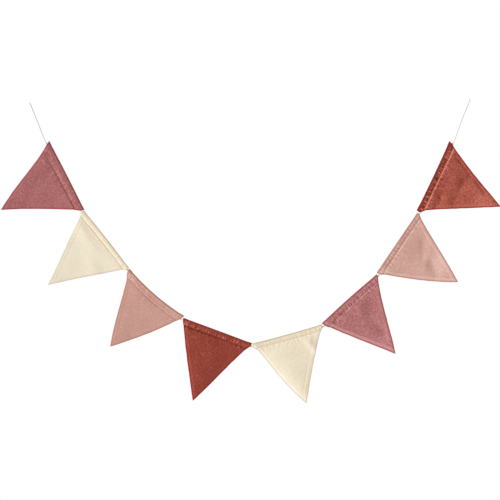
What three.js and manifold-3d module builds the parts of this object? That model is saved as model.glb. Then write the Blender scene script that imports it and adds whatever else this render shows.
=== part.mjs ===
// Fabric bunting: eight triangular pennants threaded on one cotton string, hung in a curve.
// Millimetres, +Z up. It runs along +X and faces -Y. The origin is the string's left end.

import * as THREE from "three";
import { mergeVertices } from "three/addons/utils/BufferGeometryUtils.js";
import Module from "manifold-3d";

const wasm = await Module();
wasm.setup();

// Cloth and string
const CLOTH = 2;
const RIM_ROUND = 0.7;
const STRING_DIAMETER = 3.2;
const STRING_SIDES = 8;
const STRING_STEPS = 80;

// Casing: the top of a pennant, folded to the back and topstitched over the string.
// A section runs from the fold, 0, to the stitch line, 1, with half its thickness at each place.
const CASING_SECTION = [
  { at: 0, half: 1.3 },
  { at: 0.12, half: 2.5 },
  { at: 0.3, half: 3.3 },
  { at: 0.5, half: 3.4 },
  { at: 0.7, half: 3 },
  { at: 0.88, half: 2 },
  { at: 1, half: 0.7 },
];
const STITCH_GROOVE = 2.5;
const TUNNEL = { at: 0.49, reach: 0.37, half: 2.3, sides: 12, steps: 14, beyond: 9 };

// Panel mesh: as many faces along the casing as rows from the stitch line to the tip
const PANEL_STEPS = 16;

// How far down a pennant the dip of its top edge fades out
const DIP_FADE = 0.6;

// How far above and below the stitch line the flare of a slanted side fades out
const FLARE_FADE = 7;

const COLOURS = {
  mauve: 0xad6e6c,
  cream: 0xece0c8,
  pink: 0xc89c8f,
  rust: 0x9b4e41,
};

// Pennants from left to right. start, end and tip are corners [x, z]. dip is how far the middle of
// the top edge hangs below its ends. casing is its depth at start and end. side rows are the start
// side and the end side, each [flare at the casing, bow at mid height, how much more its upper half
// bows than its lower], positive outwards. lean is how far the tip hangs in front of the string.
const PENNANTS = [
  {
    start: [47.5, -93], end: [133, -260.6], tip: [-70.5, -260], cloth: "mauve",
    dip: -0.8, casing: [22.5, 18], side: [[0, -0.7, -2.2], [1.6, -3.1, 0.4]], lean: -5,
  },
  {
    start: [131.9, -262.2], end: [241.5, -401.5], tip: [45, -442.5], cloth: "cream",
    dip: -1.4, casing: [12.5, 11], side: [[5, 1.1, 0.7], [5.6, -0.8, 0.6]], lean: 4,
  },
  {
    start: [242.5, -403.5], end: [375.6, -518.7], tip: [196.5, -592], cloth: "pink",
    dip: 6.6, casing: [18, 18], side: [[3, 1.4, -1.2], [1.4, 5.9, 0.4]], lean: 6,
  },
  {
    start: [373.6, -523], end: [541.2, -585.2], tip: [396.5, -724.5], cloth: "rust",
    dip: -0.4, casing: [15.5, 14.5], side: [[0.8, 2.2, 0.6], [2.2, -1, -1.1]], lean: -4,
  },
  {
    start: [541.9, -585.6], end: [710.5, -539], tip: [673, -730], cloth: "cream",
    dip: 1.3, casing: [14, 14], side: [[5.4, 5.2, -1.7], [2.2, -2.4, 0]], lean: 5,
  },
  {
    start: [710.9, -536.4], end: [844.9, -416.9], tip: [890.5, -610.5], cloth: "mauve",
    dip: -1.8, casing: [18, 14], side: [[1.6, 1.4, 0.4], [1, -2.4, -1.3]], lean: -6,
  },
  {
    start: [844.4, -413.4], end: [943.5, -267.5], tip: [1041, -435.5], cloth: "pink",
    dip: -0.5, casing: [14, 11.5], side: [[2.4, 5.8, -0.6], [1.8, 0.1, -0.8]], lean: 4,
  },
  {
    start: [941.7, -262], end: [1021, -93.5], tip: [1144, -252.5], cloth: "rust",
    dip: 1.2, casing: [14.5, 15.5], side: [[5, -0.5, -0.3], [1.4, -2.6, -0.3]], lean: 9,
  },
];

// Soft folds, a row for each. pennant counts from 1. from and to are [along, down] from the
// pennant's start corner. height is towards the front, so a trough is negative.
const FOLDS = [
  { pennant: 1, from: [44, 32], to: [58, 100], width: 16, height: 3 },
  { pennant: 1, from: [140, 50], to: [118, 110], width: 22, height: -1.5 },
  { pennant: 2, from: [34, 24], to: [128, 66], width: 20, height: 1.6 },
  { pennant: 3, from: [60, 50], to: [80, 130], width: 26, height: 1 },
  { pennant: 4, from: [85, 40], to: [92, 140], width: 40, height: 2.5 },
  { pennant: 5, from: [127, 18], to: [144, 58], width: 9, height: 2 },
  { pennant: 5, from: [70, 50], to: [84, 130], width: 26, height: 1.5 },
  { pennant: 6, from: [118, 38], to: [112, 64], width: 12, height: -1 },
  { pennant: 6, from: [98, 68], to: [97, 122], width: 11, height: -2.4 },
  { pennant: 6, from: [96, 30], to: [88, 46], width: 10, height: 1.5 },
  { pennant: 7, from: [124, 52], to: [98, 70], width: 10, height: -1.8 },
  { pennant: 7, from: [96, 94], to: [80, 120], width: 12, height: -1.9 },
  { pennant: 7, from: [64, 50], to: [72, 80], width: 15, height: 1.5 },
  { pennant: 7, from: [80, 90], to: [97, 80], width: 8, height: 1 },
  { pennant: 8, from: [26, 38], to: [52, 41], width: 8, height: -2.9 },
  { pennant: 8, from: [56, 54], to: [112, 52], width: 12, height: 2 },
  { pennant: 8, from: [100, 74], to: [136, 82], width: 9, height: -2.1 },
  { pennant: 8, from: [112, 100], to: [96, 150], width: 16, height: 2 },
];

// The string's route [x, z], from its left end to its right end, through all the casings
const STRING_ROUTE = [
  [0, 0], [17.5, -42.5], [31, -77], [42, -102],
  [63, -146], [84, -186.5], [104, -226], [126, -265.5],
  [157, -305], [195.5, -353], [238, -407.5],
  [275, -448.5], [318, -487], [370, -527],
  [430, -552], [487, -572], [540.5, -591.8],
  [599.5, -578], [654.5, -563.5], [714, -543.5],
  [762.2, -501.7], [803.2, -463.9], [848.4, -420.2],
  [881, -371.5], [912.2, -325.4], [950, -265.5],
  [969, -223.5], [988, -184], [1008, -142], [1028, -101.2],
  [1049.5, -42], [1070, 9],
];

const mix = (a, b, t) => a + (b - a) * t;
const { smoothstep } = THREE.MathUtils;

// A pennant's own axes: along runs from its start corner to its end corner, down runs towards its tip
function pennantAxes({ start, end, tip }) {
  const origin = new THREE.Vector2(...start);
  const along = new THREE.Vector2(...end).sub(origin);
  const length = along.length();
  along.normalize();
  const down = new THREE.Vector2(along.y, -along.x);
  const toTip = new THREE.Vector2(...tip).sub(origin);
  return { origin, along, down, length, tipAlong: toTip.dot(along), height: toTip.dot(down) };
}

// How far outside its straight line a slanted side runs, at a depth below the top edge
function sideOffset([flare, bow, skew], depth, casing, height) {
  const share = depth / height;
  const started = smoothstep(depth, 0, casing / 2);
  const faded = smoothstep(depth, casing - FLARE_FADE, casing + FLARE_FADE);
  const curve = share * (1 - share) * (4 * bow + 10.4 * skew * (1 - 2 * share));
  return flare * (started - faded) + curve;
}

// How far a pennant's mid surface stands in front of the string, at a place [along, down]
function lift(index, height, lean, place) {
  const point = new THREE.Vector3(place[0], place[1], 0);
  const nearest = new THREE.Vector3();
  const soft = smoothstep(place[1], 14, 36);
  let total = lean * (Math.max(place[1], 0) / height) ** 1.5;
  for (const fold of FOLDS.filter((row) => row.pennant === index + 1)) {
    const line = new THREE.Line3(new THREE.Vector3(...fold.from, 0), new THREE.Vector3(...fold.to, 0));
    line.closestPointToPoint(point, true, nearest);
    total += soft * fold.height * Math.exp(-((nearest.distanceTo(point) / fold.width) ** 2));
  }
  return total;
}

// The panel as a function of share (0 at the start side, 1 at the end side) and depth below the
// top edge: a point of the mid surface, pushed out by offset, which is negative towards the front
function panelPoint(index, share, depth, offset) {
  const row = PENNANTS[index];
  const axes = pennantAxes(row);
  const fall = Math.max(depth, 0) / axes.height;
  const left = axes.tipAlong * fall - sideOffset(row.side[0], depth, row.casing[0], axes.height);
  const right = mix(axes.length, axes.tipAlong, fall)
    + sideOffset(row.side[1], depth, row.casing[1], axes.height);
  const dip = row.dip * 4 * share * (1 - share) * Math.max(0, 1 - fall / DIP_FADE);
  const place = [mix(left, right, share), depth + dip];
  const plane = axes.origin.clone()
    .addScaledVector(axes.along, place[0])
    .addScaledVector(axes.down, place[1]);
  return new THREE.Vector3(plane.x, offset - lift(index, axes.height, row.lean, place), plane.y);
}

// Rows of a panel's face, from the casing's fold to the tip. Each place has its share, depth and
// half thickness, and the rows below the stitch line lose a place each.
function panelRows(index) {
  const { casing } = PENNANTS[index];
  const { height } = pennantAxes(PENNANTS[index]);
  const rows = CASING_SECTION.map(({ at, half }) => {
    const places = [];
    for (let i = 0; i <= PANEL_STEPS; i += 1) {
      const share = i / PANEL_STEPS;
      places.push({ share, depth: at * mix(casing[0], casing[1], share), half });
    }
    return places;
  });
  for (let step = 0; step <= PANEL_STEPS; step += 1) {
    const across = PANEL_STEPS - step;
    const places = [];
    for (let i = 0; i <= across; i += 1) {
      const share = across ? i / across : 0.5;
      const first = mix(casing[0], casing[1], share) + STITCH_GROOVE;
      places.push({ share, depth: mix(first, height, step / PANEL_STEPS), half: CLOTH / 2 });
    }
    rows.push(places);
  }
  return rows;
}

// Triangles between two rows of vertex numbers, facing the front
function zip(upper, lower) {
  const faces = [];
  let i = 0;
  let j = 0;
  while (i < upper.length - 1 || j < lower.length - 1) {
    const nextUpper = upper.length > 1 ? (i + 1) / (upper.length - 1) : 2;
    const nextLower = lower.length > 1 ? (j + 1) / (lower.length - 1) : 2;
    if (i < upper.length - 1 && (nextUpper <= nextLower || j === lower.length - 1)) {
      faces.push([upper[i], lower[j], upper[i + 1]]);
      i += 1;
    } else {
      faces.push([upper[i], lower[j], lower[j + 1]]);
      j += 1;
    }
  }
  return faces;
}

// Quads, as triangles, between two closed loops of vertex numbers
function band(front, back) {
  return front.flatMap((start, i) => {
    const next = (i + 1) % front.length;
    return [[start, front[next], back[next]], [start, back[next], back[i]]];
  });
}

function manifoldOf(points, faces) {
  const vertProperties = new Float32Array(points.flatMap((point) => point.toArray()));
  return new wasm.Manifold(new wasm.Mesh({
    numProp: 3,
    vertProperties,
    triVerts: new Uint32Array(faces.flat()),
  }));
}

function geometryOf(solid) {
  const mesh = solid.getMesh();
  const geometry = new THREE.BufferGeometry();
  geometry.setAttribute("position", new THREE.BufferAttribute(mesh.vertProperties, 3));
  geometry.setIndex(new THREE.BufferAttribute(mesh.triVerts, 1));
  return mergeVertices(geometry, 1e-3).toNonIndexed();
}

// A pennant's cloth with its casing still closed: a front face, a back face and a rounded rim
function closedPanel(index) {
  const rows = panelRows(index);
  const points = [];
  const faceSheet = (side) => rows.map((places) => places.map(({ share, depth, half }) => {
    points.push(panelPoint(index, share, depth, side * half));
    return points.length - 1;
  }));
  const outline = (sheet) => [
    ...sheet[0],
    ...sheet.slice(1).map((row) => row[row.length - 1]),
    ...sheet.slice(1, -1).reverse().map((row) => row[0]),
  ];
  const front = faceSheet(-1);
  const back = faceSheet(1);
  const faces = [];
  for (let r = 0; r < rows.length - 1; r += 1) {
    faces.push(...zip(front[r], front[r + 1]));
    faces.push(...zip(back[r], back[r + 1]).map(([a, b, c]) => [a, c, b]));
  }
  const frontLoop = outline(front);
  const backLoop = outline(back);
  const centre = new THREE.Vector3();
  frontLoop.forEach((n) => centre.addScaledVector(points[n], 1 / frontLoop.length));
  const rimLoop = frontLoop.map((n, i) => {
    const rim = points[n].clone().add(points[backLoop[i]]).multiplyScalar(0.5);
    const inwards = centre.clone().sub(rim).setY(0).setLength(RIM_ROUND);
    points[n].add(inwards);
    points[backLoop[i]].add(inwards);
    points.push(rim);
    return points.length - 1;
  });
  faces.push(...band(frontLoop, rimLoop), ...band(rimLoop, backLoop));
  return manifoldOf(points, faces);
}

// The tunnel that the string runs through, open at both slanted ends of the casing
function tunnel(index) {
  const { casing } = PENNANTS[index];
  const { length } = pennantAxes(PENNANTS[index]);
  const points = [];
  const rings = [];
  for (let step = 0; step <= TUNNEL.steps; step += 1) {
    const share = mix(-TUNNEL.beyond, length + TUNNEL.beyond, step / TUNNEL.steps) / length;
    const depth = mix(casing[0], casing[1], THREE.MathUtils.clamp(share, 0, 1));
    rings.push([]);
    for (let side = 0; side < TUNNEL.sides; side += 1) {
      const turn = (2 * Math.PI * side) / TUNNEL.sides;
      const down = depth * (TUNNEL.at + TUNNEL.reach * Math.cos(turn));
      points.push(panelPoint(index, share, down, TUNNEL.half * Math.sin(turn)));
      rings[step].push(points.length - 1);
    }
  }
  const faces = rings.slice(1).flatMap((ring, i) => band(rings[i], ring));
  const cap = (ring) => ring.slice(1, -1).map((n, i) => [ring[0], n, ring[i + 2]]);
  faces.push(...cap(rings[TUNNEL.steps]));
  faces.push(...cap(rings[0]).map(([a, b, c]) => [a, c, b]));
  return manifoldOf(points, faces);
}

function pennant(row, index) {
  const material = new THREE.MeshStandardMaterial({
    color: COLOURS[row.cloth],
    roughness: 0.9,
    metalness: 0,
  });
  const mesh = new THREE.Mesh(geometryOf(closedPanel(index).subtract(tunnel(index))), material);
  mesh.name = `pennant_${index + 1}`;
  return mesh;
}

function string() {
  const route = new THREE.CatmullRomCurve3(STRING_ROUTE.map(([x, z]) => new THREE.Vector3(x, 0, z)));
  const section = new THREE.Shape();
  for (let side = 0; side < STRING_SIDES; side += 1) {
    const turn = (2 * Math.PI * side) / STRING_SIDES;
    const x = (STRING_DIAMETER / 2) * Math.cos(turn);
    const y = (STRING_DIAMETER / 2) * Math.sin(turn);
    if (side) section.lineTo(x, y);
    else section.moveTo(x, y);
  }
  const geometry = new THREE.ExtrudeGeometry(section, { steps: STRING_STEPS, extrudePath: route });
  const material = new THREE.MeshStandardMaterial({ color: 0xece9e0, roughness: 0.85, metalness: 0 });
  const mesh = new THREE.Mesh(geometry, material);
  mesh.name = "string";
  return mesh;
}

const bunting = new THREE.Group();
bunting.name = "fabric_bunting";
bunting.add(...PENNANTS.map(pennant), string());

export default bunting;
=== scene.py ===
import math

import bmesh
import bpy
import numpy as np
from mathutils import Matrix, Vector, noise


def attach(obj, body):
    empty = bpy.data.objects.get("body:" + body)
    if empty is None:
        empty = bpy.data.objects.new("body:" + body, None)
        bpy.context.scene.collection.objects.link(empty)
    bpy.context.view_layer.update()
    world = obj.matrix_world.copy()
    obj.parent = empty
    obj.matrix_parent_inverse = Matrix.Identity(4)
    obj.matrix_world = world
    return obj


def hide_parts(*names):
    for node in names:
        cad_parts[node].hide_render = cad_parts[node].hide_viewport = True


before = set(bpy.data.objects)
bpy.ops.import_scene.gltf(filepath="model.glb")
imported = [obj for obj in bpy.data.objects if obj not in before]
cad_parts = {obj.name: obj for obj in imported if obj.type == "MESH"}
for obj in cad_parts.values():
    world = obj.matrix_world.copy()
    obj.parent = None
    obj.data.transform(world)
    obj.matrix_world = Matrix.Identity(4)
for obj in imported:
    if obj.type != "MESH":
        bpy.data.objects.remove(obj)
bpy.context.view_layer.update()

# Camera: square on to the hung bunting, as the photograph was taken, from about 3.4 metres away.
# The photograph's middle is the middle of the bunting, and there it shows a width of view_width.
MM = 0.001
view_centre = Vector((536 * MM, 0, -357.5 * MM))
view_width = 1215 * MM
lens_mm = 100
sensor_mm = 36
lens = bpy.data.cameras.new("portrait_lens")
lens.lens = lens_mm
lens.sensor_width = sensor_mm
lens.clip_end = 50
camera = bpy.data.objects.new("camera", lens)
camera.location = view_centre - Vector((0, view_width * lens_mm / sensor_mm, 0))
camera.rotation_euler = (math.pi / 2, 0, 0)
bpy.context.collection.objects.link(camera)
bpy.context.scene.camera = camera

# String: one length of off-white cotton, three strands twisted together. It runs through every
# casing, holds the pennants up, and has a bare cut end on each side. Sizes are in millimetres.
STRING_DIAMETER = 3.2
STRING_SIDES = 18
STRING_STEP = 0.8
STRANDS = 3
STRAND_DEPTH = 0.16
TWIST_LENGTH = 8.5
# How much thicker the twist has worked loose at the left and right end, and over what length
LOOSE = (0.45, 0.25)
LOOSE_LENGTH = 150
# How long a stretch at each end is rounded off
CUT_ROUND = 1.2
# Where it hangs, [x, z] from its left end
STRING_ROUTE = [
    (0, 0), (17.5, -42.5), (31, -77), (42, -102),
    (63, -146), (84, -186.5), (104, -226), (126, -265.5),
    (157, -305), (195.5, -353), (238, -407.5),
    (275, -448.5), (318, -487), (370, -527),
    (430, -552), (487, -572), (540.5, -591.8),
    (599.5, -578), (654.5, -563.5), (714, -543.5),
    (762.2, -501.7), (803.2, -463.9), (848.4, -420.2),
    (881, -371.5), (912.2, -325.4), (950, -265.5),
    (969, -223.5), (988, -184), (1008, -142), (1028, -101.2),
    (1049.5, -42), (1070, 9),
]


def smooth_route(points, step):
    """A curve through the points, sampled every step. It bends least where they lie far apart."""
    points = np.array(points, float)
    ends = 2 * points[[0, -1]] - points[[1, -2]]
    points = np.vstack([ends[:1], points, ends[1:]])
    fine = []
    for a, b, c, d in zip(points, points[1:], points[2:], points[3:]):
        gaps = [np.linalg.norm(after - before) ** 0.5 for before, after in ((a, b), (b, c), (c, d))]
        slope_b = (b - a) / gaps[0] - (c - a) / (gaps[0] + gaps[1]) + (c - b) / gaps[1]
        slope_c = (c - b) / gaps[1] - (d - b) / (gaps[1] + gaps[2]) + (d - c) / gaps[2]
        t = np.linspace(0, 1, 60, endpoint=False)[:, None]
        fine.append(
            (2 * t**3 - 3 * t**2 + 1) * b + (t**3 - 2 * t**2 + t) * slope_b * gaps[1]
            + (3 * t**2 - 2 * t**3) * c + (t**3 - t**2) * slope_c * gaps[1]
        )
    line = np.vstack([*fine, points[-2:-1]])
    along = np.concatenate([[0], np.cumsum(np.linalg.norm(np.diff(line, axis=0), axis=1))])
    places = np.linspace(0, along[-1], int(along[-1] / step) + 1)
    return np.stack([np.interp(places, along, line[:, k]) for k in range(2)], 1), along[-1]


def tube_faces(first, rings, sides):
    """Faces of a closed tube, whose points come ring by ring from number first on."""
    faces = []
    for n in range(rings - 1):
        for k in range(sides):
            a = first + n * sides + k
            b = first + n * sides + (k + 1) % sides
            faces.append((a, b, b + sides, a + sides))
    faces.append(tuple(first + k for k in reversed(range(sides))))
    faces.append(tuple(first + (rings - 1) * sides + k for k in range(sides)))
    return faces


def twisted_string(line):
    """Points and faces of the string along a line, and how deep each point lies in a groove."""
    heading = np.gradient(line, axis=0)
    heading /= np.linalg.norm(heading, axis=1)[:, None]
    ring = np.arange(STRING_SIDES) * 2 * math.pi / STRING_SIDES
    points, groove = [], []
    for n, ((x, z), (hx, hz)) in enumerate(zip(line, heading)):
        turn = 2 * math.pi * n * STRING_STEP / TWIST_LENGTH
        lobe = np.abs(np.sin((ring - turn) * STRANDS / 2)) ** 0.7
        ends = np.array([n, len(line) - 1 - n]) * STRING_STEP
        slim = math.sqrt(min(1, 0.35 + 0.65 * min(ends) / CUT_ROUND))
        loose = 1 + np.maximum(0, 1 - ends / LOOSE_LENGTH) @ LOOSE
        radius = STRING_DIAMETER / 2 * slim * loose * (1 - STRAND_DEPTH + STRAND_DEPTH * lobe * 1.3)
        side, out = radius * np.cos(ring), radius * np.sin(ring)
        points += list(zip(x - hz * side, out, z + hx * side))
        groove += list(1 - lobe)
    return points, tube_faces(0, len(line), STRING_SIDES), groove


def add_mesh(name, points, faces, material):
    """A piece at the origin from points in millimetres, shaded smooth."""
    data = bpy.data.meshes.new(name)
    data.from_pydata([tuple(p) for p in np.asarray(points) * MM], [], [tuple(f) for f in faces])
    data.shade_smooth()
    data.materials.append(material)
    piece = bpy.data.objects.new(name, data)
    bpy.context.collection.objects.link(piece)
    return piece


def mark_points(piece, name, values):
    """Gives each point of a piece a number, which its material reads."""
    piece.data.attributes.new(name, "FLOAT", "POINT").data.foreach_set("value", values)


class Wire:
    """A socket in a material's nodes, which sums, scales and powers work on as on a number."""

    def __init__(self, tree, socket=None):
        self.tree = tree
        self.socket = socket

    def node(self, kind, settings=None, values=None, output=0):
        """Another node in this material: its settings first, then the values or wires it takes."""
        made = self.tree.nodes.new(kind)
        for name, value in (settings or {}).items():
            if name == "stops":
                for spot, (place, colour) in enumerate(value):
                    stops = made.color_ramp.elements
                    stop = stops[spot] if spot < len(stops) else stops.new(place)
                    stop.position = place
                    stop.color = (*colour, 1)
            else:
                setattr(made, name, value)
        for name, value in (values or {}).items():
            if isinstance(value, Wire):
                self.tree.links.new(value.socket, made.inputs[name])
            else:
                made.inputs[name].default_value = value
        return Wire(self.tree, made.outputs[output])

    def maths(self, operation, *values):
        return self.node("ShaderNodeMath", {"operation": operation}, dict(enumerate(values)))

    def __add__(self, other):
        return self.maths("ADD", self, other)

    def __sub__(self, other):
        return self.maths("SUBTRACT", self, other)

    def __rsub__(self, other):
        return self.maths("SUBTRACT", other, self)

    def __mul__(self, other):
        return self.maths("MULTIPLY", self, other)

    def __pow__(self, other):
        return self.maths("POWER", self, other)

    __radd__ = __add__
    __rmul__ = __mul__

    def blend(self, first, second):
        """first where this wire is 0 and second where it is 1, both colours."""
        values = {"Factor": self, 6: first, 7: second}
        return self.node("ShaderNodeMix", {"data_type": "RGBA"}, values, output=2)


def new_material(name, roughness, sheen):
    """A matt fabric surface: its shader node, and a wire to build its colour and bump from."""
    material = bpy.data.materials.new(name)
    material.use_nodes = True
    shader = material.node_tree.nodes["Principled BSDF"]
    shader.inputs["Roughness"].default_value = roughness
    shader.inputs["Specular IOR Level"].default_value = 0.15
    shader.inputs["Sheen Weight"].default_value = sheen
    shader.inputs["Sheen Roughness"].default_value = 0.5
    return material, shader, Wire(material.node_tree)


def finish_material(wire, shader, colour, height, strength, distance):
    """Feeds the colour, and the height as a bump, into the shader."""
    bump = wire.node("ShaderNodeBump", {}, {"Height": height, "Strength": strength, "Distance": distance})
    wire.tree.links.new(colour.socket, shader.inputs["Base Color"])
    wire.tree.links.new(bump.socket, shader.inputs["Normal"])


def string_material():
    """Soft spun cotton: fine hairs round the strands, and painted shade in the grooves between them."""
    material, shader, wire = new_material("cotton_string", roughness=0.85, sheen=0.15)
    place = wire.node("ShaderNodeTexCoord", output="Object")
    fibre = wire.node("ShaderNodeTexNoise", {}, {"Vector": place, "Scale": 900, "Detail": 3})
    patch = wire.node("ShaderNodeTexNoise", {}, {"Vector": place, "Scale": 40, "Detail": 2})
    groove = wire.node("ShaderNodeAttribute", {"attribute_name": "groove"}, output="Fac")
    strand_colour = (0.35 + 0.3 * patch).blend((0.86, 0.86, 0.835, 1), (0.79, 0.785, 0.755, 1))
    # Painted shade in the grooves between the strands
    colour = (0.6 * groove + 0.15 * fibre).blend(strand_colour, (0.57, 0.55, 0.5, 1))
    finish_material(wire, shader, colour, fibre, strength=0.5, distance=0.4 * MM)
    return material


route, string_length = smooth_route(STRING_ROUTE, STRING_STEP)
points, faces, groove = twisted_string(route)
string = add_mesh("cotton_string", points, faces, string_material())
mark_points(string, "groove", groove)
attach(string, "root")
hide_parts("string")

# Pennants: each is two layers of cotton canvas sewn along both slanted sides and turned right side
# out, so the seam allowances lie inside and thicken the edges. The top is turned to the back over
# the string and topstitched, and this casing is what the pennant hangs by.

# Corners are [x, z]. dip is how far the middle of the top edge hangs below its ends, and casing is
# how deep the casing is at the start and the end. A side is its flare at the casing, its bow, and
# how much more its upper half bows than its lower. lean is how far the tip hangs in front of the
# string.
# level is how far in front of the string's middle the stitches hold the front layer, swell is how
# far the cloth below them swells at the start, the middle and the end, and curl is how far the
# start and end sides turn to the back. pucker is how strongly the stitches gather the cloth.
# The last row is about tone, much of it painted light and shade: how pale the panel and the casing
# are, their own tone and partly painted light, painted light and shade along the two seams, the
# crease below the stitches, as painted shade below 0 and a painted highlight above 0, with how far
# that one reaches, and painted shade on the casing's fold. Below 0 is darker instead.
PENNANTS = [
    {
        "start": (47.5, -93), "end": (133, -260.6), "tip": (-70.5, -260), "cloth": "mauve",
        "dip": -0.8, "casing": (22.5, 18), "side": ((0, -0.7, -2.2), (1.6, -3.1, 0.4)), "lean": -5,
        "level": 0.1, "swell": (0.3, 1.3, 1.6), "curl": (1, 0.5), "pucker": 1.2,
        "faded": (0, -0.05), "seams": (0.05, 0), "crease": (-0.3, 1.6), "fold": 0,
    },
    {
        "start": (131.9, -262.2), "end": (241.5, -401.5), "tip": (45, -442.5), "cloth": "cream",
        "dip": -1.4, "casing": (12.5, 11), "side": ((5, 1.1, 0.7), (5.6, -0.8, 0.6)), "lean": 4,
        "level": 1.3, "swell": (1.8, 2, 1.8), "curl": (0.5, 0.5), "pucker": 0.4,
        "faded": (0.04, -0.24), "seams": (0, 0), "crease": (-0.7, 1.8), "fold": 0,
    },
    {
        "start": (242.5, -403.5), "end": (375.6, -518.7), "tip": (196.5, -592), "cloth": "pink",
        "dip": 6.6, "casing": (18, 18), "side": ((3, 1.4, -1.2), (1.4, 5.9, 0.4)), "lean": 6,
        "level": 0.1, "swell": (0.3, 1.5, 0.5), "curl": (0.5, 0.5), "pucker": 0.7,
        "faded": (0.05, 0.05), "seams": (0, 0), "crease": (-0.5, 3.4), "fold": 0,
    },
    {
        "start": (373.6, -523), "end": (541.2, -585.2), "tip": (396.5, -724.5), "cloth": "rust",
        "dip": -0.4, "casing": (15.5, 14.5), "side": ((0.8, 2.2, 0.6), (2.2, -1, -1.1)), "lean": -4,
        "level": -0.3, "swell": (1.8, 1.5, 0.6), "curl": (1, 0.5), "pucker": 1.4,
        "faded": (-0.12, -0.1), "seams": (0.2, 0), "crease": (-0.8, 2.2), "fold": 0,
    },
    {
        "start": (541.9, -585.6), "end": (710.5, -539), "tip": (673, -730), "cloth": "cream",
        "dip": 1.3, "casing": (14, 14), "side": ((5.4, 5.2, -1.7), (2.2, -2.4, 0)), "lean": 5,
        "level": 0.4, "swell": (0.8, 0.9, 0.7), "curl": (2.2, 1), "pucker": 0.8,
        "faded": (-0.12, -0.31), "seams": (0.5, 0), "crease": (0.25, 2), "fold": -1.3,
    },
    {
        "start": (710.9, -536.4), "end": (844.9, -416.9), "tip": (890.5, -610.5), "cloth": "mauve",
        "dip": -1.8, "casing": (18, 14), "side": ((1.6, 1.4, 0.4), (1, -2.4, -1.3)), "lean": -6,
        "level": 0.5, "swell": (1.6, 1.9, 1.9), "curl": (2.3, -1), "pucker": 2.1,
        "faded": (0.27, 0.37), "seams": (0.7, 0.1), "crease": (0.35, 1.3), "fold": -2,
    },
    {
        "start": (844.4, -413.4), "end": (943.5, -267.5), "tip": (1041, -435.5), "cloth": "pink",
        "dip": -0.5, "casing": (14, 11.5), "side": ((2.4, 5.8, -0.6), (1.8, 0.1, -0.8)), "lean": 4,
        "level": 1.1, "swell": (1.7, 2.5, 1.7), "curl": (1, -1), "pucker": 1.1,
        "faded": (0.22, 0.18), "seams": (0.25, 0.1), "crease": (0.4, 1.5), "fold": -1.9,
    },
    {
        "start": (941.7, -262), "end": (1021, -93.5), "tip": (1144, -252.5), "cloth": "rust",
        "dip": 1.2, "casing": (14.5, 15.5), "side": ((5, -0.5, -0.3), (1.4, -2.6, -0.3)), "lean": 9,
        "level": -0.2, "swell": (2, 2.4, 2), "curl": (0.5, 0.7), "pucker": 1.9,
        "faded": (0.26, 0), "seams": (0.2, -0.1), "crease": (1.9, 2), "fold": -2.2,
    },
]

# Soft folds: pennant, from and to as [along, down] from its start corner, width, and height towards
# the front, so a trough is negative. The solids have all but the narrow ones.
FOLDS = [
    (1, (44, 32), (58, 100), 16, 3),
    (1, (140, 50), (118, 110), 22, -1.5),
    (2, (34, 24), (128, 66), 20, 1.6),
    (3, (60, 50), (80, 130), 26, 1),
    (4, (85, 40), (92, 140), 40, 2.5),
    (5, (127, 18), (144, 58), 9, 2),
    (5, (70, 50), (84, 130), 26, 1.5),
    (6, (118, 38), (112, 64), 12, -1),
    (6, (98, 68), (97, 122), 11, -2.4),
    (6, (96, 30), (88, 46), 10, 1.5),
    (7, (124, 52), (98, 70), 10, -1.8),
    (7, (96, 94), (80, 120), 12, -1.9),
    (7, (64, 50), (72, 80), 15, 1.5),
    (7, (80, 90), (97, 80), 8, 1),
    (8, (57, 22), (54, 38), 7, -2.6),
    (8, (26, 38), (52, 41), 8, -2.9),
    (8, (56, 54), (112, 52), 12, 2),
    (8, (56, 72), (100, 73), 6, -1.3),
    (8, (100, 74), (136, 82), 9, -2.1),
    (8, (140, 78), (118, 102), 6, 1.2),
    (8, (112, 100), (96, 150), 16, 2),
    (8, (161, 27), (108, 130), 3.5, -2.3),
]

# Patches of painted light and shade, partly the cloth's own uneven tone: pennant, [along, down],
# radius, and how much paler, or darker if below 0
TONE_AND_LIGHT_PATCHES = [
    (3, (17, 9), 9, 0.35),
    (4, (13, 12), 9, 0.4),
    (6, (86, 132), 18, 0.3),
    (6, (112, 40), 12, -0.15),
    (7, (14, 8), 9, 0.35),
    (7, (110, 118), 34, 0.3),
    (8, (98, 145), 34, 0.35),
    (8, (24, 12), 9, 0.25),
    (8, (62, 28), 10, -0.2),
    (8, (106, 66), 10, -0.2),
]

# Canvas: its two layers together, what the seam allowances add, and where these run out
LAYERS = 1.3
SEAM_BULK = 0.9
SEAM_REACH = (7.5, 10)
# Outline: the share of the height over which a dip fades out, how far from the stitches a flare
# does, and how much the sewn sides waver, with the length of a wave
DIP_FADE = 0.6
FLARE_FADE = 7
WAVER = 0.45
WAVE_LENGTH = 14
# Casing: how far its two layers stand off the string's middle, as a scale and a section from the
# fold, 0, to the stitches, 1. Then the ridge over the string, and the turned edge below the stitches
STAND = 2.45
SECTION = [
    (0, 0), (0.02, 0.45), (0.05, 0.85), (0.09, 1.16), (0.15, 1.32), (0.25, 1.33), (0.35, 1.26),
    (0.5, 1.12), (0.65, 0.95), (0.8, 0.62), (0.9, 0.33), (1, 0), (3, 0),
]
STRING_RIDGE = 0.5
RIDGE_REACH = 1.9
TURN_BELOW_STITCHES = 2.6
# Panel: where below the stitches its swell is full, begins to fade and ends, how far from a side
# it curls, and how far the painted shade on the casing's fold reaches
SWELL_REACH = (3.4, 8, 45)
CURL_REACH = 12
FOLD_SHADE_REACH = 2.2
# The depths where the cloth begins to fold freely, and from which its folds are full
FREE_FROM = 14
FOLDED_FROM = 36
# Waves of the hanging cloth: seed, height, length, and the depth from which they are full
WAVES = [(40, 0.6, 40, 40), (60, 0.07, 10, 30)]
# Creases that the stitches draw: how wide one is, and how many times longer it is than wide
GATHER_WIDTH = 2.5
GATHER_LENGTH = 5
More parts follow.
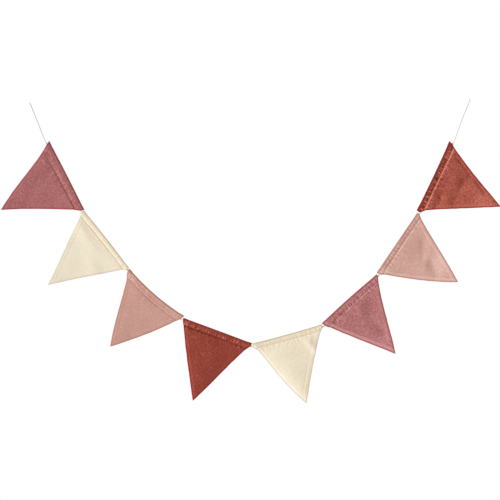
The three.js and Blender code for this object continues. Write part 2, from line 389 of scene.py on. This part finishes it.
# Mesh: rows on each side of the casing's fold, the share of its depth that the fold's bend takes,
# rows from the stitches to the tip, and columns along the casing
CASING_ROWS = 20
BEND = 0.05
PANEL_ROWS = 132
COLUMNS = 140


def smoothstep(value, low, high):
    """0 up to low and 1 from high on, with a smooth rise between them."""
    t = np.clip((value - low) / (high - low), 0, 1)
    return t * t * (3 - 2 * t)


def ripple(seed, scale, *places):
    """Smooth unevenness between about -1 and 1, the same on every run."""
    spots = np.stack(np.broadcast_arrays(*(p / scale for p in places), seed * 17.3), -1)
    return np.array([noise.noise(Vector(spot)) for spot in spots.reshape(-1, 3)]).reshape(spots.shape[:-1])


class Panel:
    """One pennant's cloth. share runs from its start side, 0, to its end side, 1, and run is the
    distance along the cloth from the fold: down the front if positive, down the back if not."""

    def __init__(self, number, sizes):
        self.number = number
        self.sizes = sizes
        self.origin = np.array(sizes["start"], float)
        edge = np.array(sizes["end"], float) - self.origin
        self.length = np.linalg.norm(edge)
        self.along = edge / self.length
        self.down = np.array([self.along[1], -self.along[0]])
        to_tip = np.array(sizes["tip"], float) - self.origin
        self.tip_along = to_tip @ self.along
        self.height = to_tip @ self.down
        self.folds = [row[1:] for row in FOLDS if row[0] == number]
        self.patches = [row[1:] for row in TONE_AND_LIGHT_PATCHES if row[0] == number]
        # The stretch of the string inside this casing and a little beyond it, along and down
        line = np.stack([(route - self.origin) @ self.along, (route - self.origin) @ self.down])
        beside = (line[0] > -10) & (line[0] < self.length + 10)
        close = abs(line[1] - 9) < 25
        self.string = line[:, beside & close]

    def casing(self, share):
        """The casing's depth, from the fold to the stitches."""
        first, last = self.sizes["casing"]
        return first + (last - first) * share

    def swell(self, share):
        """How far the cloth swells to the front below the stitches."""
        return np.interp(share, (0, 0.5, 1), self.sizes["swell"])

    def side(self, end, depth):
        """How far outside its straight line a slanted side runs. 4 and 10.4 bring the curve of the
        bow and that of the skew to 1 at their peaks."""
        flare, bow, skew = self.sizes["side"][end]
        casing = self.sizes["casing"][end]
        fall = depth / self.height
        ear = smoothstep(depth, 0, casing / 2) - smoothstep(depth, casing - FLARE_FADE, casing + FLARE_FADE)
        return flare * ear + fall * (1 - fall) * (4 * bow + 10.4 * skew * (1 - 2 * fall))

    def lift(self, along, depth):
        """How far the panel hangs in front of the string, folds and all."""
        total = self.sizes["lean"] * np.clip(depth / self.height, 0, 1) ** 1.5
        soft = smoothstep(depth, FREE_FROM, FOLDED_FROM)
        for first, last, width, height in self.folds:
            line = np.subtract(last, first)
            spot = np.stack([along - first[0], depth - first[1]], -1)
            t = np.clip(spot @ line / (line @ line), 0, 1)
            far = np.linalg.norm(spot - t[..., None] * line, axis=-1)
            total = total + soft * height * np.exp(-((far / width) ** 2))
        for seed, height, length, full in WAVES:
            wave = ripple(self.number + seed, length, along, depth)
            total = total + smoothstep(depth, FREE_FROM, full) * height * wave
        return total

    def flat(self, share, run):
        """The place on the flat cloth, along and down from the start corner, and its width there."""
        depth = np.abs(run)
        fall = depth / self.height
        # The rounded rim adds the inset again
        inset = (LAYERS + SEAM_BULK) / 2
        left = self.tip_along * fall - self.side(0, depth) + inset
        right = self.length + (self.tip_along - self.length) * fall + self.side(1, depth) - inset
        waver = WAVER * ripple(self.number, WAVE_LENGTH, depth, np.full_like(depth, 3.0))
        left, right = left + waver, right + waver * 0.8
        dip = self.sizes["dip"] * 4 * share * (1 - share) * np.maximum(0, 1 - fall / DIP_FADE)
        return left + (right - left) * share, depth + dip, right - left

    def edge_distances(self, share, run):
        """How far inside the start side and the end side a place lies."""
        width = self.flat(share, run)[2]
        slant = self.height / math.hypot(self.height, self.length / 2)
        return share * width * slant, (1 - share) * width * slant

    def thickness(self, share, run):
        """Both layers, and the seam allowances inside them near the slanted sides."""
        edge = np.minimum(*self.edge_distances(share, run))
        return LAYERS + SEAM_BULK * (1 - smoothstep(edge, *SEAM_REACH))

    def stand(self, share, run):
        """How far the cloth's middle stands in front of the panel's own surface, casing and all."""
        casing = self.casing(share)
        far = np.abs(run) / casing
        below = run - casing
        level = self.sizes["level"]
        rise, settle, end = SWELL_REACH
        swell = level + (self.swell(share) - level) * smoothstep(below, 0, rise)
        # Over the casing the stitches hold the front layer at its level, and the string lifts it
        from_string = np.abs(run) - np.interp(share * self.length, *self.string)
        ridge = STRING_RIDGE * np.exp(-((from_string / RIDGE_REACH) ** 2)) * (far < 1)
        held = level * smoothstep(far, 0.45, 1) + ridge
        front = np.where(below > 0, swell * (1 - smoothstep(below, settle, end)), held)
        # The turned layer lies against the back of the front one at the stitches
        behind = self.thickness(share, run) + 0.05 - level
        bulge = STAND * np.interp(far, *np.transpose(SECTION))
        return np.where(run < 0, -bulge - behind * smoothstep(far, 0.45, 1), bulge + front)

    def gathers(self, along, run):
        """Small creases square to the stitches, where they draw the cloth in."""
        return ripple(self.number + 20, GATHER_WIDTH, along, run / GATHER_LENGTH)

    def middle(self, share, run):
        """The middle of the cloth's thickness, [x, y, z]."""
        along, depth, _ = self.flat(share, run)
        casing = self.casing(share)
        far = np.abs(run) / casing
        below = np.abs(run) - casing
        # The gathers are highest a little above and below the stitches, and in the casing's middle
        near = 0.8 * np.exp(-((below / 10) ** 2)) * (1 - 0.7 * np.exp(-((below / 1.8) ** 2)))
        inside = smoothstep(far, 0.05, 0.4) * (1 - smoothstep(far, 0.8, 1))
        pucker = self.sizes["pucker"] * self.gathers(along, run)
        stand = self.stand(share, run) + pucker * np.maximum(near, 0.7 * inside) * np.sign(run)
        lift = self.lift(along, depth)
        free = smoothstep(depth, casing, casing + 20)
        for curl, edge in zip(self.sizes["curl"], self.edge_distances(share, run)):
            lift = lift - curl * free * np.exp(-((edge / CURL_REACH) ** 2))
        spot = self.origin + along[..., None] * self.along + depth[..., None] * self.down
        return np.stack([spot[..., 0], -(lift + stand), spot[..., 1]], -1)

    def pale(self, share, run):
        """How pale the cloth is at a place, or how dark if below 0: its own tone, and painted light and
        shade.
        """
        along, depth, _ = self.flat(share, run)
        below = depth - self.casing(share)
        # The panel's and the casing's tone: partly their own, partly painted light and shade
        panel, casing = self.sizes["faded"]
        total = casing + (panel - casing) * smoothstep(below, -1, 1)
        # Painted shade along the crease below the stitches, a painted highlight where its strength is above
        # 0, strongest where the cloth swells most
        crease, reach = self.sizes["crease"]
        uneven = 1 + 0.7 * ripple(self.number + 80, 16, along, np.full_like(along, 0.5))
        crease_strength = uneven * self.swell(share) / max(self.sizes["swell"])
        total += crease * crease_strength * np.exp(-(((below - 0.5) / reach) ** 2))
        # Painted light and shade of the gathers, in the casing and more faintly below it
        gathers = self.sizes["pucker"] * self.gathers(along, run)
        total += gathers * np.exp(-(((below + 5) / 4) ** 2))
        total += 0.4 * gathers * np.exp(-(((below - 4) / 7) ** 2))
        # Painted shade on the casing's fold
        total += self.sizes["fold"] * np.exp(-((run / FOLD_SHADE_REACH) ** 2))
        # Painted light and shade along the two seams, inside the seam allowances
        for strength, edge in zip(self.sizes["seams"], self.edge_distances(share, run)):
            total += strength * (1 - smoothstep(edge, *SEAM_REACH))
        # Patches of painted light and shade, partly the cloth's own uneven tone
        for (across, down), radius, strength in self.patches:
            total += strength * np.exp(-((along - across) ** 2 + (depth - down) ** 2) / radius**2)
        return total

    def rows(self):
        """Rows of places, [share, run], from the turned edge on the back to the tip."""
        share = np.linspace(0, 1, COLUMNS + 1)
        casing = self.casing(share)
        turned = casing * (1 - BEND) + TURN_BELOW_STITCHES
        up = np.linspace(-1, 0, CASING_ROWS, endpoint=False)
        down = np.linspace(0, 1, CASING_ROWS)[1:]
        rows = [(share, t * turned - BEND * casing) for t in up]
        rows += [(share, t * BEND * casing) for t in (-0.6, -0.3, 0, 0.3, 0.6)]
        rows += [(share, (BEND + (1 - BEND) * t) * casing) for t in down]
        for step in range(1, PANEL_ROWS + 1):
            across = round(COLUMNS * (1 - step / PANEL_ROWS))
            share = np.linspace(0, 1, across + 1) if across else np.array([0.5])
            first = self.casing(share)
            rows.append((share, first + (self.height - LAYERS - first) * step / PANEL_ROWS))
        return rows


def zip_rows(upper, lower):
    """Triangles between two rows of vertex numbers, which may differ in length."""
    faces, i, j = [], 0, 0
    while i < len(upper) - 1 or j < len(lower) - 1:
        next_upper = (i + 1) / (len(upper) - 1) if len(upper) > 1 else 2
        next_lower = (j + 1) / (len(lower) - 1) if len(lower) > 1 else 2
        if i < len(upper) - 1 and (next_upper <= next_lower or j == len(lower) - 1):
            faces.append((upper[i], lower[j], upper[i + 1]))
            i += 1
        else:
            faces.append((upper[i], lower[j], lower[j + 1]))
            j += 1
    return faces


def unit(vectors):
    """The vectors at a length of 1."""
    return vectors / np.maximum(np.linalg.norm(vectors, axis=-1, keepdims=True), 1e-9)


def point_normals(points, faces):
    """The direction square to the cloth at each point, towards the front of a panel."""
    corners = points[faces]
    tilt = np.cross(corners[:, 1] - corners[:, 0], corners[:, 2] - corners[:, 0])
    normal = np.zeros_like(points)
    for k in range(3):
        np.add.at(normal, faces[:, k], tilt)
    return unit(normal)


def panel_mesh(panel, material):
    """The pennant as one closed sheet with a rounded rim, and its flat cloth places as a UV map."""
    rows = panel.rows()
    share = np.concatenate([s for s, _ in rows])
    run = np.concatenate([r for _, r in rows])
    middle = panel.middle(share, run)
    numbers, start = [], 0
    for s, _ in rows:
        numbers.append(list(range(start, start + len(s))))
        start += len(s)
    faces = np.array([f for a, b in zip(numbers, numbers[1:]) for f in zip_rows(a, b)])
    normal = point_normals(middle, faces)
    half = panel.thickness(share, run)[:, None] / 2
    loop = numbers[0] + [r[-1] for r in numbers[1:]] + [r[0] for r in numbers[-2:0:-1]]
    tangent = unit(np.roll(middle[loop], -1, 0) - np.roll(middle[loop], 1, 0))
    outward = np.cross(normal[loop], tangent)
    if np.sum(outward * (middle[loop] - middle.mean(0))) < 0:
        outward = -outward
    layers = [middle + normal * half, middle - normal * half]
    count = len(middle)
    # The rim is rounded by a loop of points at each of these angles, from the front to the back
    turns = (50, 0, -50)
    for turn in np.radians(turns):
        bulge = math.cos(turn) * outward + math.sin(turn) * normal[loop]
        layers.append(middle[loop] + bulge * half[loop])
    points = np.vstack(layers)
    rings = [loop]
    rings += [list(2 * count + n * len(loop) + np.arange(len(loop))) for n in range(len(turns))]
    rings.append([count + n for n in loop])
    all_faces = [tuple(f) for f in faces] + [(a + count, c + count, b + count) for a, b, c in faces]
    for first, second in zip(rings, rings[1:]):
        for k in range(len(loop)):
            n = (k + 1) % len(loop)
            all_faces.append((first[k], first[n], second[n], second[k]))
    piece = add_mesh(f"pennant_{panel.number}_canvas", points, all_faces, material)
    everywhere = np.concatenate([np.arange(count)] * 2 + [loop] * len(turns))
    places = np.stack([panel.flat(share, run)[0], run], 1)[everywhere] * MM
    corner = np.empty(len(piece.data.loops), int)
    piece.data.loops.foreach_get("vertex_index", corner)
    piece.data.uv_layers.new(name="cloth").uv.foreach_set("vector", places[corner].ravel())
    edge = np.minimum(*panel.edge_distances(share, run))
    mark_points(piece, "edge", np.minimum(edge, np.abs(run))[everywhere])
    mark_points(piece, "pale", panel.pale(share, run)[everywhere])
    return piece


# The weave repeats after two threads, one that passes over and one that passes under
WEAVE_REPEAT = 1.1


def canvas(name, deep, usual, pale, hem_and_edge_shade, slub, nap):
    """Plain-weave cotton canvas: round threads over and under, thick and thin places in the yarn,
    uneven dye from deep to pale, painted light and shade from the pale attribute, and a darker edge
    tone near the edges and the fold, partly pressed cloth and partly painted shade. slub is how much
    the yarn shows as tone, and nap how much as relief."""
    material, shader, wire = new_material(name, roughness=0.92, sheen=0.08)
    place = wire.node("ShaderNodeUVMap", {"uv_map": "cloth"})
    across = place.node("ShaderNodeSeparateXYZ", {}, {"Vector": place}, output="X")
    down = place.node("ShaderNodeSeparateXYZ", {}, {"Vector": place}, output="Y")
    thread = 2 * math.pi / (WEAVE_REPEAT * MM)
    weave = across.maths("SINE", thread * across) * down.maths("SINE", thread * down)

    def streaks(along_scale, down_scale, detail):
        """Noise with spots a metre over each scale in size, along and down."""
        scale = {"Vector": place, "Scale": (along_scale, down_scale, 1)}
        stretch = wire.node("ShaderNodeMapping", {}, scale)
        values = {"Vector": stretch, "Scale": 1.0, "Detail": detail, "Roughness": 0.6}
        return wire.node("ShaderNodeTexNoise", {}, values)

    yarn = streaks(420, 130, 2) + streaks(130, 420, 2) + streaks(560, 560, 1) - 1.5
    fine = streaks(60, 900, 2) + streaks(900, 60, 2) - 1
    dye = streaks(24, 24, 3) - 0.5
    faded = wire.node("ShaderNodeAttribute", {"attribute_name": "pale"}, output="Fac")
    edge = wire.node("ShaderNodeAttribute", {"attribute_name": "edge"}, output="Fac")
    # The edge tone, partly pressed cloth and partly painted shade, is full 0.6 mm inside an edge or the
    # fold, and gone 4.5 mm inside it
    edge_band = edge.node("ShaderNodeMapRange", {}, {"Value": edge, "From Min": 4.5, "From Max": 0.6})
    # The tone adds the pale attribute, the cloth's own tone and painted light and shade
    tone = 0.5 + slub * yarn + 0.5 * slub * fine + 0.22 * dye + 0.06 * weave + 0.5 * faded
    stops = [(0, deep), (0.5, usual), (1, pale)]
    cloth = tone.node("ShaderNodeValToRGB", {"stops": stops}, {"Fac": tone})
    with_edge_shade = (0.85 * edge_band**1.5).blend(cloth, (*hem_and_edge_shade, 1))
    # Painted shade: where the pale attribute is below -0.8, mostly on the casing's fold, the colour turns
    # towards a dark copy of the edge tone
    painted_shade_colour = tuple(c * 0.3 for c in hem_and_edge_shade)
    colour = (-0.4 - 0.5 * faded).blend(with_edge_shade, (*painted_shade_colour, 1))
    relief = 0.5 * weave + 0.8 * yarn + fine
    finish_material(wire, shader, colour, relief, strength=nap, distance=0.5 * MM)
    return material


CLOTHS = {
    "mauve": canvas(
        "mauve_canvas", deep=(0.27, 0.07, 0.07), usual=(0.39, 0.132, 0.126), pale=(0.62, 0.28, 0.285),
        hem_and_edge_shade=(0.35, 0.053, 0.06), slub=0.9, nap=0.6,
    ),
    "cream": canvas(
        "cream_canvas", deep=(0.74, 0.585, 0.38), usual=(0.79, 0.692, 0.54), pale=(0.93, 0.88, 0.77),
        hem_and_edge_shade=(0.66, 0.575, 0.43), slub=0.4, nap=0.3,
    ),
    "pink": canvas(
        "pink_canvas", deep=(0.43, 0.19, 0.14), usual=(0.55, 0.292, 0.24), pale=(0.78, 0.54, 0.47),
        hem_and_edge_shade=(0.48, 0.2, 0.15), slub=0.45, nap=0.4,
    ),
    "rust": canvas(
        "rust_canvas", deep=(0.17, 0.018, 0.011), usual=(0.29, 0.048, 0.03), pale=(0.62, 0.2, 0.14),
        hem_and_edge_shade=(0.29, 0.014, 0.009), slub=0.65, nap=0.5,
    ),
}
panels = [Panel(number, sizes) for number, sizes in enumerate(PENNANTS, 1)]
for panel in panels:
    cloth = panel.sizes["cloth"]
    piece = panel_mesh(panel, CLOTHS[cloth])
    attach(piece, "root")
    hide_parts(f"pennant_{panel.number}")
    turn = sum(panel.sizes["casing"]) / 2 + TURN_BELOW_STITCHES
    (panel.height + turn) * MM
    (panel.height / 2 + turn) * panel.length * MM**2

# Topstitching: a row of machine stitches in cotton thread holds each casing shut. Every stitch is
# a short bow of thread that dips into the cloth at both ends, on the front and on the back.
STITCH_PITCH = 3
STITCH_LENGTH = 2.6
# How far from a pennant's corner the row begins and ends
STITCH_INSET = 5
# How far a stitch's middle stands above the cloth, and how far lower its two ends are
STITCH_RISE = 0.22
STITCH_DIP = 0.75
STITCH_BENDS = 7
THREAD_RADIUS = 0.3
THREAD_SIDES = 6


def thread_material(name, colour):
    """Twisted sewing thread, as pale as its canvas or paler."""
    material, shader, wire = new_material(name, roughness=0.7, sheen=0.1)
    place = wire.node("ShaderNodeTexCoord", output="Object")
    twist = wire.node("ShaderNodeTexNoise", {}, {"Vector": place, "Scale": 2500, "Detail": 2})
    dark = tuple(c * 0.7 for c in colour)
    shade = twist.blend((*dark, 1), (*colour, 1))
    finish_material(wire, shader, shade, twist, strength=0.4, distance=0.1 * MM)
    return material


def stitching(panel, material):
    """Both rows of stitches, front and back, as one mesh of short bent tubes."""
    bow = np.linspace(-1, 1, STITCH_BENDS)
    ring = np.arange(THREAD_SIDES) * 2 * math.pi / THREAD_SIDES
    points, faces = [], []
    length = panel.length - 2 * STITCH_INSET
    count = int(length / STITCH_PITCH)
    for side in (1, -1):
        for n in range(count):
            place = STITCH_INSET + (n + 0.5) * length / count
            share = (place + bow * STITCH_LENGTH / 2) / panel.length
            run = side * panel.casing(share)
            line = panel.middle(share, run)
            over = unit(panel.middle(share + 0.01, run) - line)
            fall = unit(panel.middle(share, run + side * 0.5) - line)
            # Away from the cloth: to the front on the front row, and to the back on the back row
            normal = unit(np.cross(over, fall))
            normal = np.where(normal[:, 1:2] * side > 0, -normal, normal)
            rise = panel.thickness(share, run) / 2 + STITCH_RISE - STITCH_DIP * np.abs(bow) ** 3
            faces += tube_faces(len(points), STITCH_BENDS, THREAD_SIDES)
            for centre, up, cross in zip(line + normal * rise[:, None], normal, fall):
                points += [centre + THREAD_RADIUS * (math.cos(t) * up + math.sin(t) * cross) for t in ring]
    piece = add_mesh(f"pennant_{panel.number}_stitching", points, faces, material)
    solid = bmesh.new()
    solid.from_mesh(piece.data)
    bmesh.ops.recalc_face_normals(solid, faces=solid.faces)
    solid.to_mesh(piece.data)
    solid.free()
    return piece


THREADS = {
    "mauve": thread_material("mauve_thread", (0.5, 0.21, 0.205)),
    "cream": thread_material("cream_thread", (0.8, 0.7, 0.53)),
    "pink": thread_material("pink_thread", (0.68, 0.42, 0.36)),
    "rust": thread_material("rust_thread", (0.5, 0.15, 0.11)),
}
for panel in panels:
    cloth = panel.sizes["cloth"]
    rows = stitching(panel, THREADS[cloth])
    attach(rows, "root")

# Studio: a white background, a large soft light far off to the left, another behind on the right,
# warm light from all round in the shadows, and a plain pale floor below, out of the camera's frame.
FLOOR_DROP = 1.3
FLOOR_RADIUS = 1.7


def soft_light(name, direction, spread, strength):
    """Even, slightly cool light over the whole bunting, which travels along the direction."""
    data = bpy.data.lights.new(name, "SUN")
    data.color = (0.91, 1.02, 1.11)
    data.angle = math.radians(spread)
    data.energy = strength
    light = bpy.data.objects.new(name, data)
    light.rotation_euler = Vector(direction).to_track_quat("-Z", "Y").to_euler()
    bpy.context.collection.objects.link(light)


soft_light("left_light", (0.85, 0.52, -0.02), 25, 3.5)
soft_light("back_light", (-0.75, -0.6, -0.35), 40, 2.9)

floor = bmesh.new()
bmesh.ops.create_circle(floor, cap_ends=True, segments=96, radius=FLOOR_RADIUS)
floor_data = bpy.data.meshes.new("floor")
floor.to_mesh(floor_data)
floor.free()
floor_piece = bpy.data.objects.new("floor", floor_data)
floor_piece.location = (view_centre.x, 0, -FLOOR_DROP)
bpy.context.collection.objects.link(floor_piece)
floor_paint, floor_shader, _ = new_material("pale_floor", roughness=0.8, sheen=0)
floor_shader.inputs["Base Color"].default_value = (0.86, 0.86, 0.85, 1)
floor_data.materials.append(floor_paint)

world = bpy.data.worlds.new("studio")
bpy.context.scene.world = world
world.use_nodes = True
# The camera sees pure white behind the bunting, and the cloth is lit by a dimmer, warmer one
sky = Wire(world.node_tree)
seen = sky.node("ShaderNodeLightPath", output="Is Camera Ray")
background = world.node_tree.nodes["Background"]
tint = seen.blend((1.11, 0.98, 0.84, 1), (1, 1, 1, 1))
world.node_tree.links.new(tint.socket, background.inputs["Color"])
world.node_tree.links.new((0.45 + 0.55 * seen).socket, background.inputs["Strength"])
bpy.context.scene.view_settings.view_transform = "Standard"
